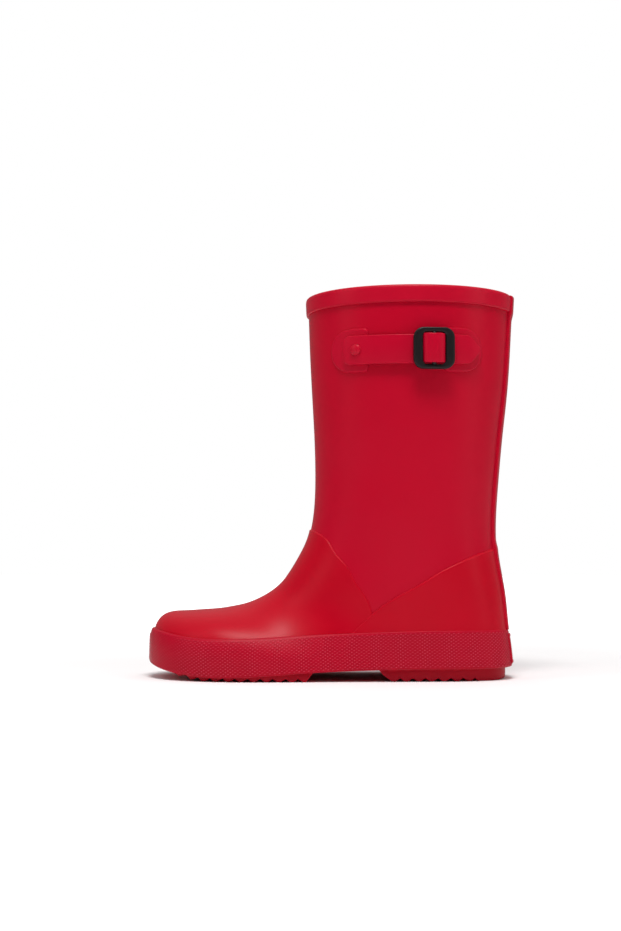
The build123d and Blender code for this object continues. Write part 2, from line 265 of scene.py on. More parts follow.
# %% [markdown]
# ## The form of the boot
#
# The leg and the foot are one tube that bends forward at the ankle. It is described by
# stations, flat ovals that start level at the rim, tilt through the heel and stand
# upright at the toe. Each row below gives the oval's front or top point and its back
# or bottom point in the side view, its half width, where it is widest, how full its
# two ends are, how much of a layer's thickness goes toward the toe, and how far the
# foot bends to the inner side there.

# %% Stations
STATIONS = np.array(
    [
        # front x, z     back x, z      half   widest  fullness    nose  shift
        (-66.2, 208.0, 37.2, 208.0, 38.4, 0.50, 2.05, 2.05, 0.00, 0.0),
        (-65.5, 188.0, 35.7, 188.0, 37.9, 0.50, 2.05, 2.05, 0.00, 0.0),
        (-64.8, 165.0, 34.3, 165.0, 37.1, 0.50, 2.05, 2.05, 0.00, 0.0),
        (-63.6, 140.0, 32.4, 140.0, 35.8, 0.50, 2.05, 2.05, 0.00, 0.0),
        (-62.4, 117.0, 29.7, 117.0, 34.4, 0.50, 2.05, 2.05, 0.00, 0.0),
        (-62.0, 100.0, 27.7, 97.0, 33.2, 0.50, 2.05, 2.10, 0.00, 0.0),
        (-62.6, 83.0, 26.2, 77.0, 32.3, 0.50, 2.10, 2.15, 0.00, 0.0),
        (-65.0, 69.5, 26.7, 60.0, 31.4, 0.50, 2.10, 2.25, 0.00, 0.0),
        (-69.6, 59.3, 29.6, 42.0, 30.6, 0.50, 2.10, 2.40, 0.00, 0.0),
        (-75.6, 49.6, 31.6, 21.0, 30.0, 0.50, 2.10, 2.60, 0.00, 0.0),
        (-83.2, 42.1, 30.6, -8.0, 29.6, 0.50, 2.10, 2.70, 0.00, 0.0),
        (-91.8, 37.4, 8.0, -24.0, 30.3, 0.48, 2.15, 2.60, 0.00, 0.0),
        (-101.0, 34.7, -35.0, -26.0, 31.9, 0.45, 2.20, 2.50, 0.00, -0.4),
        (-110.0, 33.2, -75.0, -24.0, 33.0, 0.42, 2.25, 2.50, 0.00, -0.5),
        (-119.0, 32.5, -104.0, -22.0, 31.6, 0.42, 2.30, 2.50, 0.20, 0.3),
        (-127.5, 32.0, -122.0, -20.0, 27.3, 0.42, 2.35, 2.50, 0.45, 1.4),
        (-134.0, 31.4, -132.0, -18.0, 21.8, 0.42, 2.35, 2.50, 0.65, 2.4),
        (-138.0, 29.5, -137.2, -16.0, 16.6, 0.42, 2.35, 2.50, 0.82, 3.1),
        (-140.6, 26.2, -140.3, -14.0, 11.4, 0.42, 2.30, 2.50, 0.94, 3.5),
        (-142.0, 21.5, -142.0, -11.0, 5.5, 0.42, 2.20, 2.50, 1.00, 3.7),
    ]
)
steps = np.diff(STATIONS, axis=0)
strides = 0.5 * np.hypot(steps[:, 0], steps[:, 1]) + 0.5 * np.hypot(steps[:, 2], steps[:, 3])
walk = np.concatenate([[0.0], np.cumsum(strides)])
walk_end = walk[-1]
print(f"{len(STATIONS)} stations, {walk_end:.0f} mm from the rim to the tip of the toe")


# %% Smooth lines through points
def spline_bends(at, values):
    """Second derivatives of the natural cubic spline: the solution of its three-term equations."""
    gap = np.diff(at)
    system = np.eye(len(at))
    inner = np.arange(1, len(at) - 1)
    system[inner, inner - 1] = gap[:-1]
    system[inner, inner] = 2 * (gap[:-1] + gap[1:])
    system[inner, inner + 1] = gap[1:]
    right = np.zeros_like(values)
    right[1:-1] = 6 * np.diff(np.diff(values, axis=0) / gap[:, None], axis=0)
    return np.linalg.solve(system, right)


def spline_at(at, values, bends, where):
    """The spline at where: two cubics weighted by the distance to either neighbour."""
    k = np.clip(np.searchsorted(at, where, side="right") - 1, 0, len(at) - 2)
    gap = (at[k + 1] - at[k])[..., None]
    ahead = (at[k + 1] - where)[..., None]
    past = (where - at[k])[..., None]
    cubic = (bends[k] * ahead**3 + bends[k + 1] * past**3) / (6 * gap)
    straight = (values[k] / gap - bends[k] * gap / 6) * ahead
    return cubic + straight + (values[k + 1] / gap - bends[k + 1] * gap / 6) * past


station_bends = spline_bends(walk, STATIONS)


def side_line(points):
    """A smooth line in the side view: the natural spline of the second coordinate over the first."""
    points = np.array(sorted(points), float)
    bends = spline_bends(points[:, 0], points[:, 1:])

    def height(x):
        inside = np.clip(x, points[0, 0], points[-1, 0])
        value = spline_at(points[:, 0], points[:, 1:], bends, inside)[..., 0]
        ends = np.diff(points[[0, 1, -2, -1]], axis=0)[[0, 2]]
        slopes = ends[:, 1] / ends[:, 0]
        return value + (x - inside) * np.where(x < points[0, 0], slopes[0], slopes[1])

    return height


# %% The bent tube
def power_of(value, power):
    """A number to a power, with its sign kept: it bends a circle into a fuller oval."""
    return np.sign(value) * np.abs(value) ** power


def form(s, angle, raised=0.0):
    """Points of the tube, raised off its surface. s is the way along it from the rim.

    Across a station, angle 0 is the back or bottom point and pi the front or top one.
    The oval is the cosine and sine of the angle to the power two over its fullness."""
    s, angle, raised = np.broadcast_arrays(*(np.asarray(v, float) for v in (s, angle, raised)))
    table = np.moveaxis(spline_at(walk, STATIONS, station_bends, s), -1, 0)
    front_x, front_z, back_x, back_z, half, widest, front_power, back_power, nose, shift = table
    nose = np.clip(nose, 0.0, 1.0)
    length = np.hypot(back_x - front_x, back_z - front_z)
    outward = raised * np.sqrt(1 - nose**2)
    cosine, sine = np.cos(angle), np.sin(angle)
    to_front = cosine < 0
    reach = np.where(to_front, widest, 1 - widest) * length + outward
    power = 2 / np.where(to_front, front_power, back_power)
    along = widest * length + reach * power_of(cosine, power)
    across = (half + outward) * power_of(sine, power) + shift
    x = front_x - raised * nose + (back_x - front_x) / length * along
    z = front_z + (back_z - front_z) / length * along
    return np.stack([x, across, z], -1)


fine_walk = np.linspace(0.0, walk_end, 6000)
fine_table = spline_at(walk, STATIONS, station_bends, fine_walk)
front_height, back_height = fine_table[:, 1], fine_table[:, 3]


def walk_to_height(z):
    """How far along the tube its front line is at height z."""
    return np.interp(z, front_height[::-1], fine_walk[::-1])


rim_low, rim_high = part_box("rim_band")
rim_top = rim_high.z / MM
print("form's rim", form(walk_to_height(rim_top), np.array([0, math.pi]))[:, 0].round(2))
print("CAD's rim ", round(rim_high.x / MM, 2), round(rim_low.x / MM, 2), "with the band on it")

# %% [markdown]
# ## From a grid of points to a piece
#
# Every surface here is a grid: rows one way and columns the other. A closed piece
# either wraps round on itself or has an inner grid joined to its outer one along the
# edges. Points that meet at a pole or a seam are merged, and the faces are turned so
# that they look outward.


# %% Mesh helpers
def grid_faces(rows, columns, rows_wrap, columns_wrap):
    """Four corner numbers for each cell of a grid that may wrap round either way."""
    cells = (rows if rows_wrap else rows - 1, columns if columns_wrap else columns - 1)
    row, column = np.indices(cells)
    next_row, next_column = (row + 1) % rows, (column + 1) % columns
    corners = [row * columns + column, row * columns + next_column]
    corners += [next_row * columns + next_column, next_row * columns + column]
    return np.stack(corners, -1).reshape(-1, 4)


def ring_grid(points):
    """A grid that wraps round both ways, like a tyre, as points and faces."""
    return points, grid_faces(*points.shape[:2], True, True)


def make_piece(name, surfaces, material, body, stands_for):
    """One object from surfaces, pairs of points in mm and faces, closed and smooth, on its body."""
    points, faces, first = [], [], 0
    for surface_points, surface_faces in surfaces:
        flat = np.asarray(surface_points, float).reshape(-1, 3)
        points.append(flat)
        faces.append(surface_faces + first)
        first += len(flat)
    points, faces = np.concatenate(points) * MM, np.concatenate(faces)
    mesh = bpy.data.meshes.new(name)
    mesh.vertices.add(len(points))
    mesh.vertices.foreach_set("co", points.astype(np.float32).ravel())
    mesh.loops.add(faces.size)
    mesh.loops.foreach_set("vertex_index", faces.astype(np.int32).ravel())
    mesh.polygons.add(len(faces))
    mesh.polygons.foreach_set("loop_start", np.arange(0, faces.size, 4, dtype=np.int32))
    mesh.update(calc_edges=True)
    tidy = bmesh.new()
    tidy.from_mesh(mesh)
    bmesh.ops.remove_doubles(tidy, verts=tidy.verts, dist=0.001 * MM)
    bmesh.ops.dissolve_degenerate(tidy, edges=tidy.edges, dist=1e-7)
    loose = [edge for edge in tidy.edges if edge.is_wire]
    bmesh.ops.delete(tidy, geom=loose, context="EDGES")
    bmesh.ops.recalc_face_normals(tidy, faces=tidy.faces)
    if tidy.calc_volume(signed=True) < 0:
        bmesh.ops.reverse_faces(tidy, faces=tidy.faces)
    open_edges = sum(not edge.is_manifold for edge in tidy.edges)
    volume = tidy.calc_volume() / MM**3
    tidy.to_mesh(mesh)
    tidy.free()
    mesh.polygons.foreach_set("use_smooth", np.ones(len(mesh.polygons), bool))
    mesh.materials.append(material)
    piece = bpy.data.objects.new(name, mesh)
    bpy.context.scene.collection.objects.link(piece)
    if body:
        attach(piece, body)
    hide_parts(stands_for)
    print(f"{name}: {len(mesh.polygons)} faces, {volume / 1000:.2f} cm3, {open_edges} open edges")
    return piece


def wall_between(outer, inner, around):
    """A closed wall: the outer grid's rows, then the inner grid's rows back again, as one loop.

    With around, the columns wrap too. Otherwise a ladder of faces closes either side."""
    rows, columns = outer.shape[:2]
    loop = np.concatenate([outer, inner[::-1]])
    faces = [grid_faces(2 * rows, columns, True, around)]
    if not around:
        row = np.arange(rows - 1)
        for column in (0, columns - 1):
            ladder = [row, row + 1, 2 * rows - 2 - row, 2 * rows - 1 - row]
            faces.append(np.stack(ladder, -1) * columns + column)
    return loop, np.concatenate(faces)


def loft(sections):
    """Closed sections joined in order, with each end drawn in to its own centre."""
    ends = [sections[[k]].mean(axis=1, keepdims=True).repeat(sections.shape[1], axis=1) for k in (0, -1)]
    rows = np.concatenate([ends[0], sections, ends[1]])
    return rows, grid_faces(rows.shape[0], rows.shape[1], False, True)


def smooth_step(t):
    """0 below 0, 1 above 1, and a smooth rise between them: three squares less two cubes."""
    t = np.clip(t, 0, 1)
    return t**2 * (3 - 2 * t)


def quarter_round(distance, radius):
    """Height of a rounded edge at a distance in from it: a quarter circle, from 0 to 1."""
    return np.sqrt(1 - (1 - np.clip(distance / radius, 0, 1)) ** 2)


def end_steps(count, length):
    """Distances from an end, close together at first."""
    return length * (1 - np.cos(np.linspace(0, math.pi / 2, count)))


def steps_across(width, count, rim, inner_count):
    """Distances from one edge to the other, close together within rim of either."""
    near = end_steps(count, rim)
    between_rims = rim + (width - 2 * rim) * np.linspace(0, 1, inner_count + 2)[1:-1]
    return np.concatenate([near, between_rims, width - near[::-1]])


# %% [markdown]
# ## Moulded PVC
#
# The boot is soft PVC from a polished steel mould. The eye reads that as a satin skin:
# a broad soft highlight, a very fine orange peel, and a colour that drifts a little
# from place to place. The layers, the band, the strap and the sole are the same
# PVC in slightly different shades, so one function makes them all.


# %% Moulded PVC
def moulded_pvc(name, dark, light, roughness, peel_size, peel_depth, ageing=0.05):
    """Soft PVC: two close shades in slow clouds, and an orange peel of peel_size and peel_depth, in mm.

    The IOR is that of plasticised PVC. The specular level is set low, so that the white
    surroundings add little to the red and it stays deep."""
    material, tree, output = new_material(name)
    place = place_of(tree)
    clouds = noise(tree, place, 28, Detail=3.0)
    peel = noise(tree, place, peel_size, Detail=4.0, Roughness=0.6)
    links = {
        "Base Color": two_shades(tree, clouds, dark, light),
        "Roughness": between(tree, clouds, roughness - ageing, roughness + ageing),
        "Normal": relief(tree, peel, peel_depth),
    }
    finish(tree, output, {"IOR": 1.53, "Specular IOR Level": 0.12}, links)
    return material


upper_pvc = moulded_pvc("moulded_pvc_upper", "#b80022", "#bd0026", 0.38, 0.9, 0.012)
layer_pvc = moulded_pvc("moulded_pvc_layers", "#b6001a", "#bd0020", 0.36, 0.9, 0.012)
rim_pvc = moulded_pvc("moulded_pvc_rim", "#ba0627", "#c0082a", 0.36, 0.9, 0.01)
band_pvc = moulded_pvc("moulded_pvc_knurled_band", "#ae0021", "#b50226", 0.42, 0.7, 0.01)
sole_pvc = moulded_pvc("moulded_pvc_sole", "#a4001a", "#ac001e", 0.5, 0.6, 0.02)
strap_pvc = moulded_pvc("moulded_pvc_strap", "#b80025", "#bd0029", 0.4, 0.8, 0.012)
print("PVC shades", [m.name for m in bpy.data.materials if "pvc" in m.name])

# %% [markdown]
# ## The leg and foot shell
#
# The shell is one wall, 2.6 mm thick. Its outer face follows the form from just under
# the rim to the toe, and its inner face is the form pulled in by the wall. Where the
# tube would go below the sole, the face is laid flat on it, inside the outsole.

# %% Side lines
heel_top = [(-31, 5.6), (-14, 6.0), (45, 5.8)]
sole_line = side_line([(-152, 13.0), (-144, 8.5), (-128, 3.6), (-107, 1.9), (-70, 3.9), *heel_top])
band_line = side_line(
    [(-152, 25), (-144, 24.2), (-125, 21), (-105, 20), (-70, 21.5), (-43, 22.8), (-14, 23.8), (45, 23.7)]
)
vamp_edge = side_line(
    [(15, -34), (32.5, -34.3), (40.7, -37.5), (47.8, -42.4), (54.3, -46), (61.4, -52), (68.5, -57), (76, -72)]
)
low_sweep = [(-52, 14), (-43.7, 23), (-34.4, 31.8), (-23, 39.8)]
counter_edge = side_line([*low_sweep, (-13, 45.2), (-3, 51.2), (9, 57.2), (21, 61.7), (45, 68)])
wall = 2.6
sole_thickness = 4.0
board_thickness, foam_thickness, cloth_thickness = 1.5, 3.5, 0.8
insole_play = 0.5

# %% Shell
around = np.linspace(0, 2 * math.pi, 192, endpoint=False)
shell_top = walk_to_height(rim_top - 1.5)


def shell_face(raised, rows, floor_rise):
    """One face of the shell: the form at even steps down the tube, flat where it meets the sole.

    A point below the floor keeps a hundredth of its depth, so that no two points fall together."""
    face = form(np.linspace(shell_top, walk_end, rows)[:, None], around[None, :], raised)
    above = face[..., 2] - sole_line(face[..., 0]) - floor_rise
    face[..., 2] -= 0.99 * np.minimum(above, 0)
    return face


outer, inner = shell_face(0.0, 220, sole_thickness - 0.1), shell_face(-wall, 150, sole_thickness + 0.2)
shell_loop = np.concatenate([outer, inner[::-1]])
make_piece("leg_and_foot_shell", [ring_grid(shell_loop)], upper_pvc, "boot", "shaft_shell")

# %% [markdown]
# ## The rim band
#
# A rounded band finishes the top. It is one closed profile, given as how far it stands
# off the leg and its height, carried round the leg's oval. It folds over the shell's
# top edge, as the thickened rim of a moulded boot does.

# %% Rim band
lower_lip = [(-0.3, -8.2), (0.55, -8.5), (0.95, -8.35), (1.15, -7.8)]
outer_side = [(1.2, -7.0), (1.25, -4.0), (1.2, -1.6)]
top_bend = [(1.0, -0.8), (0.5, -0.2), (-0.3, 0.0), (-1.6, 0.0), (-2.3, -0.25)]
inner_side = [(-2.75, -0.9), (-2.85, -1.8), (-2.6, -2.6)]
rim_profile = np.array(lower_lip + outer_side + top_bend + inner_side)
rim_steps = np.concatenate([[0], np.cumsum(np.hypot(*np.diff(rim_profile, axis=0).T))])
rim_bends = spline_bends(rim_steps, rim_profile)
rim_curve = spline_at(rim_steps, rim_profile, rim_bends, np.linspace(0, rim_steps[-1], 60))
rim_s = walk_to_height(rim_top + rim_curve[:, 1])
rim_ring = form(rim_s[:, None], around[None, :], rim_curve[:, [0]])
make_piece("rounded_rim_band", [ring_grid(rim_ring)], rim_pvc, "boot", "rim_band")

# %% [markdown]
# ## Outlines of the foot
#
# The band, the soles and the insole all follow the foot's outline. At one height the
# outline crosses the tilted stations, so it is worked out from where each station
# reaches that height. The outlines at many heights, walked in equal steps from the
# middle of the heel, make a table that any piece of the foot can look up.

# %% Foot outlines
level_step = 1.0
levels = np.arange(-1.0, 73.0, level_step)
ring_count = 768
toe_bulge = 0.8


def foot_ring(z):
    """The outline at height z, in equal steps round from the middle of the heel.

    On each station, the share of its length where it reaches z gives its half width by
    the oval's equation. The flat tip of the toe is closed with a shallow arc."""
    lowest = np.argmin(back_height)
    start = np.interp(z, back_height[:lowest][::-1], fine_walk[:lowest][::-1])
    end = min(walk_end, walk_to_height(z))
    s = start + (end - start) * (1 - np.cos(np.linspace(0, math.pi, 400))) / 2
    table = np.moveaxis(spline_at(walk, STATIONS, station_bends, s), -1, 0)
    front_x, front_z, back_x, back_z, half, widest, front_power, back_power, _, shift = table
    length = np.hypot(back_x - front_x, back_z - front_z)
    along = (z - front_z) * length / (back_z - front_z)
    offset = along - widest * length
    reach = np.where(offset < 0, widest, 1 - widest) * length
    power = np.where(offset < 0, front_power, back_power)
    share = np.clip(np.abs(offset) / reach, 0, 1)
    share[0] = 1.0
    across = half * (1 - share**power) ** (1 / power)
    x = front_x + (back_x - front_x) / length * along
    arc = np.linspace(-1, 1, 25)[1:-1]
    tip = np.stack([x[-1] - toe_bulge * (1 - arc**2), shift[-1] - across[-1] * arc], -1)
    if end < walk_end:
        tip = tip[:0]
    left = np.stack([x, shift + across], -1)
    right = np.stack([x, shift - across], -1)[::-1]
    ring = np.concatenate([left, tip, right])
    gaps = np.hypot(*np.diff(ring, axis=0).T)
    ring = ring[np.concatenate([[True], gaps > 1e-6])]
    way = np.concatenate([[0], np.cumsum(np.hypot(*np.diff(ring, axis=0).T))])
    even = np.linspace(0, way[-1], ring_count + 1)[:-1]
    return np.stack([np.interp(even, way, ring[:, 0]), np.interp(even, way, ring[:, 1])], -1), way[-1]


rings, ring_lengths = zip(*(foot_ring(z) for z in levels))
rings, ring_lengths = np.array(rings), np.array(ring_lengths)
tangent = np.roll(rings, -3, axis=1) - np.roll(rings, 3, axis=1)
tangent /= np.linalg.norm(tangent, axis=-1, keepdims=True)
outwards = np.stack([tangent[..., 1], -tangent[..., 0]], -1)
if (outwards[:, 0, 0] < 0).any():
    outwards = -outwards
print(f"foot outline {ring_lengths[12]:.0f} mm round at {levels[12]:.0f} mm up")


def on_foot(z, turn, raised):
    """Points at height z and at a share of the way round, raised off the foot.

    Both the outline and its outward direction are looked up in the table, between the
    two nearest heights and the two nearest steps round."""
    z, turn, raised = np.broadcast_arrays(*(np.asarray(v, float) for v in (z, turn, raised)))
    level = np.clip((z - levels[0]) / level_step, 0, len(levels) - 1.001)
    low = level.astype(int)
    up = (level - low)[..., None]
    place = np.mod(turn, 1.0) * ring_count
    here = place.astype(int) % ring_count
    there = (here + 1) % ring_count
    on = (place - np.floor(place))[..., None]

    def look_up(table):
        lower = table[low, here] * (1 - on) + table[low, there] * on
        upper = table[low + 1, here] * (1 - on) + table[low + 1, there] * on
        return lower * (1 - up) + upper * up

    plan = look_up(rings) + look_up(outwards) * raised[..., None]
    return np.concatenate([plan, z[..., None]], -1)


# %% [markdown]
# ## The raised layers
#
# Two reinforcing layers stand a little off the shell. The toe layer is laid down the
# bent tube: each of its columns starts where it crosses the layer's edge in the side
# view and runs on to the toe. The heel layer is laid on the foot's outlines, from its
# edge down to the band. Both run on behind the knurled band. At an edge the surface
# drops to the shell in a quarter circle, which draws the fine line of light on a seam.

# %% Toe layer
vamp_raise, counter_raise = 0.6, 0.9
edge_radius = 0.7
sunk = 0.12  # how far a layer's edge goes into the shell
layer_back = -0.5
tuck = 1.6  # how far a layer runs on behind the knurled band


def layer_rise(distance, rise):
    """How far a layer stands off the shell at a distance in from its edge."""
    return -sunk + (rise + sunk) * quarter_round(distance, edge_radius)


toe_angles = math.pi + (math.pi / 2 - 0.1) * np.linspace(-1, 1, 250)
trial = np.linspace(shell_top, walk_end, 1600)
trial_points = form(trial[:, None], toe_angles[None, :], 0.0)
ahead = vamp_edge(trial_points[..., 2]) - trial_points[..., 0]
past = np.argmax(ahead > 0, axis=0)
column = np.arange(len(toe_angles))
share = ahead[past, column] / (ahead[past, column] - ahead[past - 1, column])
toe_start = trial[past] - share * (trial[1] - trial[0])
near, shares = end_steps(8, edge_radius)[:, None], np.linspace(0, 1, 142)[1:, None]
toe_run = walk_end - toe_start - edge_radius
toe_ways = np.concatenate([near + 0 * toe_run, edge_radius + toe_run * shares])
toe_s, toe_raised = toe_start + toe_ways, layer_rise(toe_ways, vamp_raise)
toe_faces = [form(toe_s, toe_angles[None, :], raised) for raised in (toe_raised, layer_back)]
make_piece("toe_layer", [wall_between(*toe_faces, False)], layer_pvc, "boot", "vamp_overlay")


# %% Heel layer
def beside_heel(z, distance, raised):
    """Points at height z and at a distance round the foot from the middle of the heel."""
    return on_foot(z, distance / np.interp(z, levels, ring_lengths), raised)


def heel_layer_top(distance):
    """The height where the foot's side crosses the heel layer's edge, by halving a range that holds it."""
    lowest, highest = 15.0, 71.0
    low, high = np.full(len(distance), lowest), np.full(len(distance), highest)
    for _ in range(40):
        middle = (low + high) / 2
        under = counter_edge(beside_heel(middle, distance, 0.0)[:, 0]) > middle
        low, high = np.where(under, middle, low), np.where(under, high, middle)
    return low


def heel_layer_bottom(distance):
    """The height, just behind the band's top, where the heel layer ends."""
    near_band_top = 22.0
    return band_line(beside_heel(near_band_top, distance, 0.0)[:, 0]) - tuck


trial = np.linspace(-150, 150, 3001)
has_layer = heel_layer_top(trial) > heel_layer_bottom(trial) + 0.05
centre = len(trial) // 2
left_end = trial[centre - np.argmin(has_layer[centre::-1]) + 1]
right_end = trial[centre + np.argmin(has_layer[centre:]) - 1]
distance = np.linspace(left_end, right_end, 420)
top, bottom = heel_layer_top(distance), heel_layer_bottom(distance)
down = top - bottom
fit = np.minimum(1, down / (3 * edge_radius))
shares = np.linspace(0, 1, 72)[1:, None]
below_edge = np.concatenate([near * fit, edge_radius * fit + (down - edge_radius * fit) * shares])
edge_slope = 0.85  # the edge runs up at a slant, so it is nearer than the height below it says
heel_raised = layer_rise(below_edge * edge_slope, counter_raise)
heel_z = top - below_edge
heel_faces = [beside_heel(heel_z, distance[None, :], raised) for raised in (heel_raised, layer_back)]
make_piece("heel_layer", [wall_between(*heel_faces, False)], layer_pvc, "boot", "heel_counter")
print(f"heel layer reaches {-left_end:.0f} and {right_end:.0f} mm round from the middle of the heel")

# %% [markdown]
# ## The strip up the back
#
# A flat strip covers the seam up the back of the leg and runs on over the heel layer
# and the rim. Its rows go down the back of the form and its columns are set by their
# distance from the middle, so that its sides are straight.

# %% Back strip
stay_half = 11.0
stay_edge = 0.7
band_top = band_line(30.0)
stay_top = walk_to_height(rim_top - 0.05)
down_back = 3600  # samples of the back line before it turns under the heel
stay_bottom = np.interp(band_top - 0.5, back_height[:down_back][::-1], fine_walk[:down_back][::-1])
stay_run = stay_bottom - stay_top
stay_ways = steps_across(stay_run, 7, stay_edge, 150)
stay_y = steps_across(2 * stay_half, 7, stay_edge, 22)
stay_s = (stay_top + stay_ways)[:, None]
stay_table = spline_at(walk, STATIONS, station_bends, stay_s[:, 0])
stay_sine = (stay_y[None, :] - stay_half - stay_table[:, [9]]) / (stay_table[:, [4]] + 1.5)
stay_angle = np.arcsin(power_of(stay_sine, stay_table[:, [7]] / 2))
stay_z = form(stay_s, 0.0)[..., 2]
over_rim = smooth_step((stay_z - (rim_top - 12.5)) / 5)
over_counter = smooth_step((counter_edge(28.0) + 4 - stay_z) / 5)
stay_plain, stay_on_rim, stay_on_counter = 1.25, 0.7, 0.65
stay_rise = stay_plain + stay_on_rim * over_rim + stay_on_counter * over_counter
stay_round = quarter_round(np.minimum(stay_y, 2 * stay_half - stay_y)[None, :], stay_edge)
stay_round = stay_round * quarter_round(np.minimum(stay_ways, stay_run - stay_ways)[:, None], stay_edge)
stay_raised = -0.1 + (stay_rise + 0.1) * stay_round
stay_faces = [form(stay_s, stay_angle, raised) for raised in (stay_raised, -0.6)]
make_piece("back_strip", [wall_between(*stay_faces, False)], upper_pvc, "boot", "back_stay")

# %% [markdown]
# ## The knurled band
#
# The band that joins the sole to the upper is knurled all over with small diamonds,
# about 2.3 mm long and 1.5 mm high, between two plain lips. Each diamond is a low
# pyramid: the lesser of two triangle waves that run up and down to the right.

# %% Knurled band
band_raise_heel, band_raise_toe = 1.2, 2.0
diamond_length = 2.29
knurl_height = 0.5
band_columns = ring_count
diamonds_round = round(ring_lengths[14] / diamond_length)
diamond_rows = 10
samples = 4
turn = np.arange(band_columns) / band_columns
mid_x = on_foot(14.0, turn, 0.0)[:, 0]
band_bottom, band_top_line = sole_line(mid_x), band_line(mid_x)
band_raise = band_raise_heel + (band_raise_toe - band_raise_heel) * np.clip((-5 - mid_x) / 130, 0, 1)


def triangle_wave(t):
    """0 at whole numbers and 1 half way between them."""
    return 1 - np.abs(2 * (t - np.floor(t)) - 1)


lip = 1.15
round_radius = 0.55
bend = np.linspace(0, math.pi / 2, 5)
knurl_rows = diamond_rows * samples + 1
knurl_share = np.linspace(0, 1, knurl_rows)
column_number = turn * diamonds_round
row_number = knurl_share[:, None] * diamond_rows
pyramid = np.minimum(triangle_wave(column_number + row_number), triangle_wave(column_number - row_number))
toe_fade = 0.35  # the knurling is shallower round the tip of the toe
fade = toe_fade + (1 - toe_fade) * np.clip((mid_x + 140) / 20, 0, 1)
knurl = knurl_height * pyramid * fade
height = band_top_line - band_bottom
band_rows_z = np.concatenate(
    [
        [band_bottom + 0.3, band_bottom],
        band_bottom + round_radius * (1 - np.cos(bend))[:, None],
        band_bottom + lip + (height - 2 * lip) * knurl_share[:, None],
        band_top_line - round_radius * (1 - np.sin(bend))[:, None],
        [band_top_line + 0.05, band_top_line - 0.6],
    ]
)
ones = np.ones(band_columns)
band_rows_raise = np.concatenate(
    [
        [-0.6 * ones, band_raise - round_radius - 0.4],
        band_raise - round_radius * (1 - np.sin(bend))[:, None],
        band_raise + knurl,
        band_raise - round_radius * (1 - np.cos(bend))[:, None],
        [-0.2 * ones, -0.6 * ones],
    ]
)
band_grid = on_foot(band_rows_z, turn[None, :], band_rows_raise)
foxing_band = make_piece("knurled_band", [ring_grid(band_grid)], band_pvc, "boot", "foxing_band")
print(f"{diamonds_round} diamonds round, {diamond_rows} high")

# %% Painted highlight on the diamond tips
# The tips of the diamonds catch the light by their own shape, and a painted highlight,
# a paler shade near each tip, makes that stronger: each point of the band keeps how high
# it stands on its diamond, and the band's material reads that number.
knurl_start = len(bend) + 2
knurl_level = np.zeros(band_grid.shape[:2], np.float32)
knurl_level[knurl_start : knurl_start + knurl_rows] = pyramid * fade
tips = foxing_band.data.attributes.new("knurl", "FLOAT", "POINT")
tips.data.foreach_set("value", knurl_level.ravel())
pvc_tree = band_pvc.node_tree
pvc_shader = next(node for node in pvc_tree.nodes if node.type == "BSDF_PRINCIPLED")
plain_shade = pvc_shader.inputs["Base Color"].links[0].from_socket
tip = add_node(pvc_tree, "ShaderNodeAttribute", {"attribute_name": "knurl"}).outputs["Fac"]
painted_highlight = between(pvc_tree, tip, 0.0, 0.6, 0.35, 0.95, smooth=True)
highlight_mix = add_node(pvc_tree, "ShaderNodeMix", {"data_type": "RGBA"}, links={"Factor": painted_highlight, "A": plain_shade})
# painted highlight: the paler red laid on the tips of the diamonds
highlight_mix.inputs["B"].default_value = linear("#e0566c")
pvc_tree.links.new(highlight_mix.outputs["Result"], pvc_shader.inputs["Base Color"])
print("pale tips on", int((knurl_level > 0.9).sum()), "points")

# %% [markdown]
# ## The heel label
#
# A raised plate sits on the back of the band. It is blank, with a fine raised border.
# Its grid is a rectangle whose rows narrow near the top and bottom to round the
# corners, laid on the band by distance round the heel.

# %% Heel label
label_half, label_low, label_high = 11.0, 7.5, 22.0
label_corner, label_rise = 1.2, 1.0
label_edge = 0.9
label_height = label_high - label_low
label_z = steps_across(label_height, 7, label_edge, 26)
label_u = steps_across(2 * label_half, 7, label_edge, 40) / label_half - 1
from_end = np.minimum(label_z, label_height - label_z)
row_half = label_half - label_corner * (1 - quarter_round(from_end, label_corner))
label_across = row_half[:, None] * label_u[None, :]
from_side = row_half[:, None] - np.abs(label_across)
inset = np.minimum(from_side, from_end[:, None])
border = 0.25 * smooth_step((inset - 1.3) / 0.4)
label_raised = band_raise_heel + label_rise * quarter_round(inset, 0.6) - border - 0.15 * (inset < 1e-6)
label_turn = label_across / ring_lengths[14]
label_faces = [
    on_foot(label_low + label_z[:, None], label_turn, raised)
    for raised in (label_raised, band_raise_heel - 0.8)
]
label_plate = wall_between(*label_faces, False)
make_piece("heel_label_plate", [label_plate], band_pvc, "boot", "heel_label")

# %% [markdown]
# ## Soles
#
# The outsole, the heel and the insole are slabs: a section across the foot, carried
# from the heel to the toe. Each section runs down one side of the foot's outline,
# round a small corner, across the underside and up again. The saw teeth of the tread
# are in the underside's height, a broken line of lands and valleys.


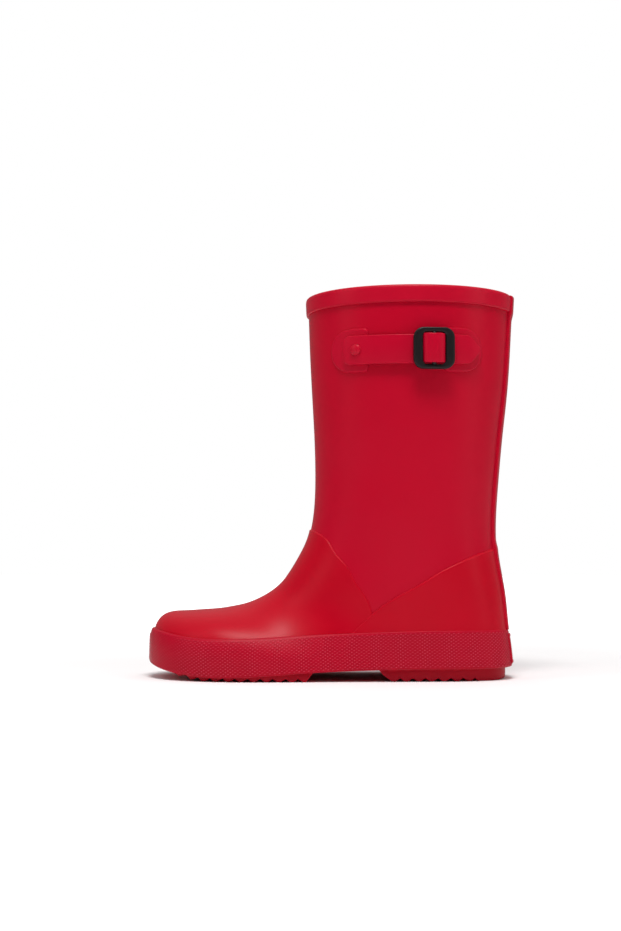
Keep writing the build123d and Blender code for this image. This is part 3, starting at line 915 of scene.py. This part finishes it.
# %% Slab helper
def foot_slab(raised, low, high, corner, shares, underside=9, heights=6):
    """A slab between low(x) and high(x) within the foot's outline, at shares of its length from the heel.

    At each height, a share of the way from the outline's rearmost point to its foremost
    gives x, and the outline's two sides there give the slab's width."""
    offset = rings + outwards * raised
    half_way = np.argmin(offset[..., 0], axis=1)
    long_x, sides = [], []
    for ring, tip in zip(offset, half_way):
        rear = ring[0, 0]
        x = rear + (ring[tip, 0] - rear) * shares
        left, right = ring[: tip + 1], np.concatenate([ring[tip:], ring[:1]])[::-1]
        sides.append([np.interp(-x, -left[:, 0], left[:, 1]), np.interp(-x, -right[:, 0], right[:, 1])])
        long_x.append(x)
    long_x, sides = np.array(long_x), np.array(sides)
    middle_widths = sides[len(levels) // 2, :, len(shares) // 2]
    order = np.sign(middle_widths[0] - middle_widths[1])
    mid_level = np.searchsorted(levels, 6.0)
    floor_z, roof_z = low(long_x[mid_level]), high(long_x[mid_level])
    room = np.minimum(corner, (roof_z - floor_z) / 2.2)
    turn_in = np.linspace(0, math.pi / 2, 5)
    climb = np.linspace(1, 0, heights)[1:, None]
    side_z = floor_z + room + (roof_z - floor_z - 2 * room) * np.concatenate([[[1.0]], climb])
    top_z = roof_z - room * (1 - np.cos(turn_in[::-1]))[:, None]
    low_z = floor_z + room * (1 - np.sin(turn_in))[:, None]
    z = np.concatenate([top_z, side_z[1:-1], low_z])
    low_pull = room * (1 - np.cos(turn_in))[:, None]
    top_pull = room * (1 - np.sin(turn_in[::-1]))[:, None]
    pull = np.concatenate([top_pull, np.zeros((heights - 2, len(shares))), low_pull])
    place = np.clip((z - levels[0]) / level_step, 0, len(levels) - 1.001)
    lower, up = place.astype(int), place - np.floor(place)
    k = np.arange(len(shares))[None, :]
    x = long_x[lower, k] * (1 - up) + long_x[lower + 1, k] * up
    left = sides[lower, 0, k] * (1 - up) + sides[lower + 1, 0, k] * up
    right = sides[lower, 1, k] * (1 - up) + sides[lower + 1, 1, k] * up
    pull = np.minimum(pull, np.abs(left - right) / 2) * order
    left, right = left - pull, right + pull
    across = np.linspace(0, 1, underside)[1:-1, None]
    bottom_y = left[-1] + (right[-1] - left[-1]) * across
    top_y = right[0] + (left[0] - right[0]) * across
    y = np.concatenate([left, bottom_y, right[::-1], top_y])
    flat = np.ones_like(bottom_y)
    x = np.concatenate([x, x[-1] * flat, x[::-1], x[0] * flat])
    z = np.concatenate([z, z[-1] * flat, z[::-1], z[0] * flat])
    return loft(np.stack([x, y, z], -1).transpose(1, 0, 2))


foot_length = 172.0


def length_shares(spacing, start=0.0, stop=1.0):
    """Shares of the foot's length: even steps of spacing mm, closer together toward both tips."""
    tip, least = 0.03, 4e-4  # the share of the length that is drawn closely, and the first one
    even = np.arange(start, stop, spacing / foot_length)
    ends = end_steps(12, tip)
    parts = [[start], ends[ends >= start], even[(even > tip) & (even < 1 - tip)], 1 - ends[1 - ends <= stop]]
    return np.clip(np.unique(np.concatenate([*parts, [stop]]).round(6)), least, 1 - least)


# %% Tread
tooth_pitch, tooth_land, tooth_depth = 6.0, 1.2, 1.6
spring_start_x, spring_rate = -112.0, 0.012


def tread(front, rear, front_end, rear_end):
    """The underside's height over x: lands and valleys from the front tooth to the rear one."""
    middles = np.arange(front, rear + tooth_pitch / 2, tooth_pitch)
    valleys = middles[:-1] + tooth_pitch / 2
    spring, valley_spring = [spring_rate * np.maximum(0, spring_start_x - x) ** 2 for x in (middles, valleys)]
    valley_z = tooth_depth + valley_spring
    half_land = tooth_land / 2
    lands = np.stack([middles - half_land, spring, middles + half_land, spring], -1).reshape(-1, 2)
    points = np.concatenate([front_end, lands, np.stack([valleys, valley_z], -1), rear_end])
    points = points[np.argsort(points[:, 0], kind="stable")]

    def height(x):
        return np.interp(x, points[:, 0], points[:, 1])

    return height


toe_end = [(-152, 12.0), (-144, 8.0), (-132, 4.6)]
sole_tread = tread(-126.0, -66.0, toe_end, [(-62, 4.4), (-30, 5.6), (45, 5.8)])
heel_end = [(14.6, 1.4), (16.4, 0.0), (26, 0.0), (30, 0.6), (33, 2.0), (45, 2.0)]
heel_tread = tread(-24.0, 12.0, [(-31.2, 5.6), (-29, 3.0)], heel_end)

# %% Outsole and heel
def above_sole(rise):
    """A height over x that is rise mm above the sole's line."""

    def height(x):
        return sole_line(x) + rise

    return height


sole_slab = foot_slab(0.0, sole_tread, above_sole(sole_thickness), 0.4, length_shares(0.5))
make_piece("saw_tooth_outsole", [sole_slab], sole_pvc, "boot", "outsole")
heel_low, heel_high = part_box("heel_block")
heel_share = (heel_high.x - heel_low.x) / (heel_high.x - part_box("outsole")[0].x)
heel_inset = 2.0
heel_slab = foot_slab(-heel_inset, heel_tread, above_sole(0.3), 0.4, length_shares(0.4, 0.0, heel_share))
make_piece("heel_block_tread", [heel_slab], sole_pvc, "boot", "heel_block")

# %% [markdown]
# ## Inside the foot
#
# A stiff board of pressed fibre closes the bottom of the upper. On it lies a loose
# insole of EVA foam, and a thin knitted cloth is laminated on the foam. Only the
# cloth is seen, down the leg, so its loops are what matter: rows of small ribs.


# %% Board, foam and cloth materials
def fibre_board():
    """Pressed fibre: brown, matte, with fine short flecks that lie across the board."""
    material, tree, output = new_material("pressed_fibre_board")
    scale = {"Scale": (1.0, 0.35, 1.0)}
    stretch = add_node(tree, "ShaderNodeMapping", sockets=scale, links={"Vector": place_of(tree)})
    flecks = noise(tree, stretch.outputs["Vector"], 1.2, Detail=5.0)
    shade = two_shades(tree, flecks, "#8c7757", "#b39c78")
    links = {"Base Color": shade, "Normal": relief(tree, flecks, 0.08)}
    finish(tree, output, {"Roughness": 0.85, "IOR": 1.47}, links)
    return material


def eva_foam():
    """EVA foam: dark grey and dull, with the fine cells of its cut edge about 0.4 mm across."""
    material, tree, output = new_material("eva_foam")
    cell_size = {"Scale": 1 / (0.4 * MM)}
    voronoi = add_node(tree, "ShaderNodeTexVoronoi", sockets=cell_size, links={"Vector": place_of(tree)})
    cells = voronoi.outputs["Distance"]
    links = {"Base Color": two_shades(tree, cells, "#4a4a4d", "#5d5d60"), "Normal": relief(tree, cells, 0.1)}
    finish(tree, output, {"Roughness": 0.9, "IOR": 1.45}, links)
    return material


def knitted_cloth():
    """Polyester jersey: ribs 1.1 mm apart crossed by courses 0.8 mm apart, with a soft fuzz."""
    material, tree, output = new_material("knitted_polyester")
    place, waves = place_of(tree), []
    for direction, pitch in (("Y", 1.1), ("X", 0.8)):
        kind = {"wave_type": "BANDS", "bands_direction": direction}
        pace = {"Scale": math.pi / 10 / (pitch * MM), "Distortion": 0.6, "Detail": 1.0}
        waves.append(add_node(tree, "ShaderNodeTexWave", kind, pace, {"Vector": place}).outputs["Fac"])
    both = {0: waves[0], 1: waves[1]}
    loops = add_node(tree, "ShaderNodeMath", {"operation": "MULTIPLY"}, links=both).outputs["Value"]
    links = {"Base Color": two_shades(tree, loops, "#3c3c40", "#6a6a70"), "Normal": relief(tree, loops, 0.25)}
    finish(tree, output, {"Roughness": 0.95, "IOR": 1.5, "Sheen Weight": 0.3, "Sheen Roughness": 0.5}, links)
    return material


board_material, foam_material, cloth_material = fibre_board(), eva_foam(), knitted_cloth()
print("inside the foot:", board_material.name, foam_material.name, cloth_material.name)

# %% Board, insole and cloth
heights = np.cumsum([sole_thickness, board_thickness, foam_thickness, cloth_thickness])
board_low, foam_low, cloth_low, cloth_high = (above_sole(rise) for rise in heights)
insole_inset = -wall - insole_play
board_slab = foot_slab(-wall, board_low, foam_low, 0.2, length_shares(2.0))
make_piece("insole_board_layer", [board_slab], board_material, "boot", "insole_board")
foam_slab = foot_slab(insole_inset, foam_low, cloth_low, 0.9, length_shares(2.0))
insole = make_piece("foam_insole", [foam_slab], foam_material, "boot", "insole")
cloth_slab = foot_slab(insole_inset, cloth_low, cloth_high, 0.3, length_shares(2.0), underside=31)
cloth = make_piece("insole_knit_cloth", [cloth_slab], cloth_material, "boot", "insole_topcloth")

# %% [markdown]
# ## The strap
#
# The strap lies on the leg's outer side, which is close to a cylinder there. It is
# worked out in that cylinder's own terms: a distance q round from the buckle and a
# height h off the strap's seat. It comes up through the buckle, over the centre bar
# in a flat-topped arch, and down again to its pointed end. The strap is two pieces
# that meet, hidden, under the buckle's rear side.

# %% The leg's side as a cylinder
joint = frame["joints"][0]
axis_point = np.array(joint["pos_m"]) / MM
axis_up = np.array(joint["axis"]) / np.linalg.norm(joint["axis"])
inward = np.cross(axis_up, [1.0, 0.0, 0.0])
side_radius, patch_raise = 65.0, 1.0
strap_thickness, strap_width = 1.8, 13.8
strap_inner = side_radius + patch_raise
strap_outer = strap_inner + strap_thickness
strap_seat = strap_inner + strap_thickness / 2
buckle_x, rivet_x = -5.0, -41.7
strap_front_x, strap_rear_x, tip_length = -47.5, 17.6, 6.2


def turn_at(x, radius):
    """Angle about the cylinder's axis of a place at x on a circle of that radius, in radians."""
    return np.arcsin((x - axis_point[0]) / radius)


def on_side(turn, distance, up):
    """Points at an angle about the axis, a distance from it and a height along it."""
    turn, distance, up = np.broadcast_arrays(turn, distance, up)
    out = np.sin(turn)[..., None] * np.array([1.0, 0, 0]) - np.cos(turn)[..., None] * inward
    return axis_point + out * distance[..., None] + up[..., None] * axis_up


buckle_turn = turn_at(buckle_x, strap_outer)
print("buckle at", on_side(buckle_turn, strap_outer, np.array(0.0)).round(2))

# %% The strap's line over the bar
arch_height, arch_half = 4.9, 4.3
foot_bend, shoulder_bend, crown_bend = 1.05, 2.3, 9.0


def arc(centre_q, centre_h, radius, start, stop, count=9):
    """Points of an arc about a centre, from a start angle to a stop angle in degrees."""
    angle = np.radians(np.linspace(start, stop, count))
    return np.stack([centre_q + radius * np.cos(angle), centre_h + radius * np.sin(angle)], -1)


shoulder_q = arch_half - shoulder_bend
crown_half = math.degrees(math.asin(shoulder_q / (crown_bend - shoulder_bend)))
crown_centre = arch_height - crown_bend
shoulder_h = crown_centre + (crown_bend - shoulder_bend) * math.cos(math.radians(crown_half))
rising = np.concatenate(
    [
        arc(-arch_half - foot_bend, foot_bend, foot_bend, -90, 0),
        arc(-shoulder_q, shoulder_h, shoulder_bend, 180, 90 + crown_half, 13),
        arc(0, crown_centre, crown_bend, 90 + crown_half, 90, 7),
    ]
)
arch = np.concatenate([rising, rising[-2::-1] * [-1, 1]])
q_front = (turn_at(strap_front_x, strap_seat) - buckle_turn) * strap_seat
q_tip = (turn_at(strap_rear_x, strap_seat) - buckle_turn) * strap_seat
q_meet = 7.7
corner_front, corner_tip = 3.5, 1.6


def strap_half_width(q):
    """Half the strap's width: rounded corners at the front end, a rounded point at the tip."""
    half = strap_width / 2
    from_front = np.clip((q - q_front) / corner_front, 0, 1)
    front = half - corner_front * (1 - np.sqrt(1 - (1 - from_front) ** 2))
    slope = half / tip_length
    hidden = corner_tip / math.sin(math.atan(slope)) - corner_tip
    from_apex = q_tip - q + hidden
    sides = (np.maximum(from_apex * slope, 1e-3) ** -9 + half**-9.0) ** (-1 / 9)
    point = np.sqrt(np.clip(corner_tip**2 - (corner_tip - np.clip(q_tip - q, 0, corner_tip)) ** 2, 0, None))
    return np.minimum(front, np.where(from_apex < 0.95, np.minimum(point, sides), sides))


def strap_band(line):
    """The strap along a line of (q, h): a rounded rectangle square to the line at each of its points."""
    steps = np.gradient(line, axis=0)
    steps /= np.linalg.norm(steps, axis=1, keepdims=True)
    normal = np.stack([-steps[:, 1], steps[:, 0]], -1)
    half = np.maximum(strap_half_width(line[:, 0]), 0.3)
    from_end = np.minimum(np.abs(line[:, 0] - q_front), np.abs(q_tip - line[:, 0]))
    thick = strap_thickness / 2 * (0.55 + 0.45 * quarter_round(from_end, 0.45))
    corner, bend = 0.45, np.linspace(0, math.pi / 2, 5)
    edge = np.minimum(corner, half * 0.8)[:, None]
    corners = [(1, 1, bend), (1, -1, bend[::-1]), (-1, -1, bend), (-1, 1, bend[::-1])]
    points_w = [side * (half[:, None] + edge * (np.sin(bent) - 1)) for side, _, bent in corners]
    points_t = [face * (thick[:, None] + corner * (np.cos(bent) - 1)) for _, face, bent in corners]
    points_w, points_t = np.concatenate(points_w, 1), np.concatenate(points_t, 1)
    q = line[:, [0]] + normal[:, [0]] * points_t
    h = line[:, [1]] + normal[:, [1]] * points_t
    return loft(on_side(buckle_turn + q / strap_seat, strap_seat + h, points_w))


straight_front = np.concatenate([end_steps(10, 1.2)[:-1], np.arange(1.2, corner_front + 1, 0.3)])
front_q = np.concatenate([q_front + straight_front, np.arange(q_front + 5, arch[0, 0] - 0.5, 1.0)])
front_line = np.stack([front_q, 0 * front_q], -1)
after_arch = np.linspace(arch[-1, 0], q_meet, 5)[1:]
strap_line = np.concatenate([front_line, arch, np.stack([after_arch, 0 * after_arch], -1)])
strap_front = make_piece(
    "strap_front_and_loop", [strap_band(strap_line)], strap_pvc, None, "strap"
)
rear_q = np.concatenate([np.arange(q_meet, q_tip - 8, 1.0), np.arange(q_tip - 8, q_tip - 1.2, 0.3)])
rear_q = np.concatenate([rear_q, q_tip - end_steps(12, 1.2)[::-1]])
tip_lift = 0.7
rear_line = np.stack([rear_q, tip_lift * smooth_step((rear_q - q_tip + 9) / 9)], -1)
strap_rear = make_piece("strap_pointed_end", [strap_band(rear_line)], strap_pvc, None, "strap")


# %% Points on the strap's line, and its two pieces baked in place
def on_strap(q):
    """The point of the strap's line at a distance q round from the buckle, in metres."""
    return tuple((on_side(buckle_turn + q / strap_seat, strap_seat, 0.0) * MM).tolist())


on_strap(-34.0)
on_strap(-7.5)
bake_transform(strap_front)
on_strap(8.0)
on_strap(17.5)
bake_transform(strap_rear)
print("strap fixed at", round(rivet_x, 1), "mm and carried by the buckle at", round(buckle_x, 1), "mm")

# %% [markdown]
# ## The patches under the strap
#
# Each end of the strap lies on a raised patch, round outside and straight toward the
# buckle. A patch is a polar grid: its outline drawn in toward its centre, laid on the
# leg's surface, with a rounded edge.


# %% Patches
def on_leg_side(x, up, raised):
    """Points of the leg's outer side at x and a height along the strap's axis, raised off the form."""
    turn = turn_at(x, strap_inner)
    z = (axis_point + up[..., None] * axis_up - np.cos(turn)[..., None] * strap_inner * inward)[..., 2]
    s = walk_to_height(z)
    table = np.moveaxis(spline_at(walk, STATIONS, station_bends, s), -1, 0)
    length, fullness = table[2] - table[0], table[6]
    share = np.clip((x - table[0] - length / 2) / (length / 2), -1, 1)
    angle = -np.arccos(power_of(share, fullness / 2))
    return form(s, angle, raised)


patch_half_height = 10.5


def patch(name, flat_x, round_x, replaced):
    """A D-shaped patch, round at round_x with a superellipse and square at flat_x with small corners."""
    toward = np.sign(round_x - flat_x)
    centre = round_x - toward * patch_half_height
    theta = np.linspace(0, 2 * math.pi, 160, endpoint=False)
    rounded = np.cos(theta) > 0
    fullness = np.where(rounded, 2 / 2.3, 2 / 9.0)
    reach = np.where(rounded, patch_half_height, abs(centre - flat_x))
    edge_x = toward * reach * power_of(np.cos(theta), fullness)
    edge_up = patch_half_height * power_of(np.sin(theta), fullness)
    inset = np.concatenate([end_steps(8, 0.8), np.linspace(0.8, patch_half_height, 14)[1:]])
    share = (1 - inset / patch_half_height)[:, None]
    raised = -0.1 + (patch_raise + 0.1) * quarter_round(inset, 0.7)[:, None]
    x, up = centre + edge_x * share, edge_up * share
    outer, inner = on_leg_side(x, up, raised + 0 * x), on_leg_side(x, up, -0.5 + 0 * x)
    make_piece(name, [wall_between(outer, inner, True)], strap_pvc, "boot", replaced)


patch("strap_patch_round_front", -35.5, -53.0, "strap_patch_front")
patch("strap_patch_round_rear", 0.5, 18.6, "strap_patch_rear")

# %% [markdown]
# ## Rivet and washer
#
# A domed rivet of red nylon pins the strap's front end. It is a profile turned about
# the rivet's own axis: a dome with a shallow step round it, a shank, and inside the
# leg a small set head over a steel washer.


# %% Turned pieces
def turned(profile, place_turn, count=48):
    """A profile of (radius, distance from the leg's axis) turned about the outward line at place_turn."""
    theta = np.linspace(0, 2 * math.pi, count, endpoint=False)
    out = on_side(place_turn, 1.0, 0.0) - on_side(place_turn, 0.0, 0.0)
    sideways = np.cross(axis_up, out)
    centre = on_side(place_turn, 0.0, 0.0)
    profile = np.asarray(profile, float)
    ring = np.cos(theta)[:, None] * sideways + np.sin(theta)[:, None] * axis_up
    points = centre + profile[:, 1, None, None] * out + profile[:, 0, None, None] * ring
    return points, grid_faces(len(profile), count, False, True)


rivet_nylon = moulded_pvc("moulded_nylon_rivet", "#b20324", "#c4122f", 0.3, 0.6, 0.006)
rivet_turn = float(turn_at(rivet_x, strap_outer))
head_radius, head_height, shank_radius = 2.7, 1.3, 1.2
dome_angle = np.linspace(0, math.pi / 2, 12)
head_step = 0.25
dome_out = strap_outer + head_step + (head_height - head_step) * np.cos(dome_angle)
dome = np.stack([head_radius * np.sin(dome_angle), dome_out], -1)
inside_face = strap_outer - strap_thickness - patch_raise - wall - 0.9
set_head = [
    (head_radius, strap_outer - 0.2),
    (shank_radius, strap_outer - 0.3),
    (shank_radius, inside_face + 0.3),
    (1.7, inside_face + 0.1),
    (1.6, inside_face - 0.1),
    (0.9, inside_face - 0.25),
    (0.0, inside_face - 0.3),
]
rivet = turned(np.concatenate([dome, set_head]), rivet_turn)
make_piece("domed_rivet", [rivet], rivet_nylon, "boot", "strap_rivet")


# %% Washer
def zinc_plated_steel():
    """Zinc-plated steel: a cool grey metal, cloudy where the plating is uneven."""
    material, tree, output = new_material("zinc_plated_steel")
    grain = noise(tree, place_of(tree), 0.5, Detail=4.0)
    sockets = {"Base Color": linear("#b9bcc0"), "Metallic": 1.0}
    finish(tree, output, sockets, {"Roughness": between(tree, grain, 0.28, 0.45)})
    return material


washer = frame["nodes"]["rivet_washer"]
washer.data.materials.clear()
washer.data.materials.append(zinc_plated_steel())
print("washer has", washer.data.materials[0].name)

# %% [markdown]
# ## The buckle
#
# The buckle is a square frame of black acetal with soft corners and a centre bar. The
# frame is a rounded section carried round between two outlines, the outer square and
# the window, so its sides are wide and its top and bottom are narrow.


# %% Black acetal
def black_acetal():
    """Moulded acetal: near black, half glossy, with a faint even texture from the mould."""
    material, tree, output = new_material("moulded_black_acetal")
    grain = noise(tree, place_of(tree), 0.35, Detail=3.0)
    links = {
        "Base Color": two_shades(tree, grain, "#120d0e", "#181314"),
        "Roughness": between(tree, grain, 0.34, 0.44),
        "Normal": relief(tree, grain, 0.02),
    }
    finish(tree, output, {"IOR": 1.48, "Specular IOR Level": 0.3}, links)
    return material


buckle_acetal = black_acetal()
print("buckle is", buckle_acetal.name)

# %% Buckle
buckle_half, buckle_corner = 9.9, 4.9
window_half = (5.4, 7.5)
window_corner = 2.0
buckle_thickness, buckle_gap = 2.6, 0.5
bar_radius = 1.2
buckle_middle = strap_outer + buckle_gap + buckle_thickness / 2


def rounded_outline(half_x, half_y, radius, per_corner=12, per_side=10):
    """A rectangle with round corners, walked anticlockwise from its right side."""
    points, joined = [], []
    for quarter, (sx, sy) in enumerate(((1, 1), (-1, 1), (-1, -1), (1, -1))):
        centre, start = (sx * (half_x - radius), sy * (half_y - radius)), 90 * quarter
        points.append(arc(*centre, radius, start, start + 90, per_corner))
    for k in range(4):
        start, stop = points[k][-1], points[(k + 1) % 4][0]
        share = np.linspace(0, 1, per_side + 2)[1:-1, None]
        joined += [points[k], start + (stop - start) * share]
    return np.concatenate(joined)


def in_buckle(q, up, out):
    """Points in the buckle's own flat frame: across it, along the cylinder's axis and outward."""
    outward_line = on_side(buckle_turn, 1.0, 0.0) - axis_point
    sideways = np.cross(axis_up, outward_line)
    centre = on_side(buckle_turn, buckle_middle, 0.0)
    return centre + q[..., None] * sideways + up[..., None] * axis_up + out[..., None] * outward_line


outside = rounded_outline(buckle_half, buckle_half, buckle_corner)
window = rounded_outline(*window_half, window_corner)
section = np.linspace(0, 2 * math.pi, 28, endpoint=False)
centre_line, half_band = (outside + window) / 2, (outside - window) / 2
swing, lift = power_of(np.cos(section), 0.55), power_of(np.sin(section), 0.55)
plan = centre_line[:, None] + half_band[:, None] * swing[None, :, None]
frame_grid = in_buckle(plan[..., 0], plan[..., 1], buckle_thickness / 2 * lift[None, :] + 0 * plan[..., 0])
bar_up, bar_angle = np.meshgrid(
    np.linspace(-window_half[1] - 0.6, window_half[1] + 0.6, 12),
    np.linspace(0, 2 * math.pi, 20, endpoint=False),
    indexing="ij",
)
bar_grid = in_buckle(bar_radius * np.cos(bar_angle), bar_up, bar_radius * np.sin(bar_angle))
buckle_parts = [ring_grid(frame_grid), loft(bar_grid)]
make_piece("square_slider_buckle", buckle_parts, buckle_acetal, "slider", "buckle")
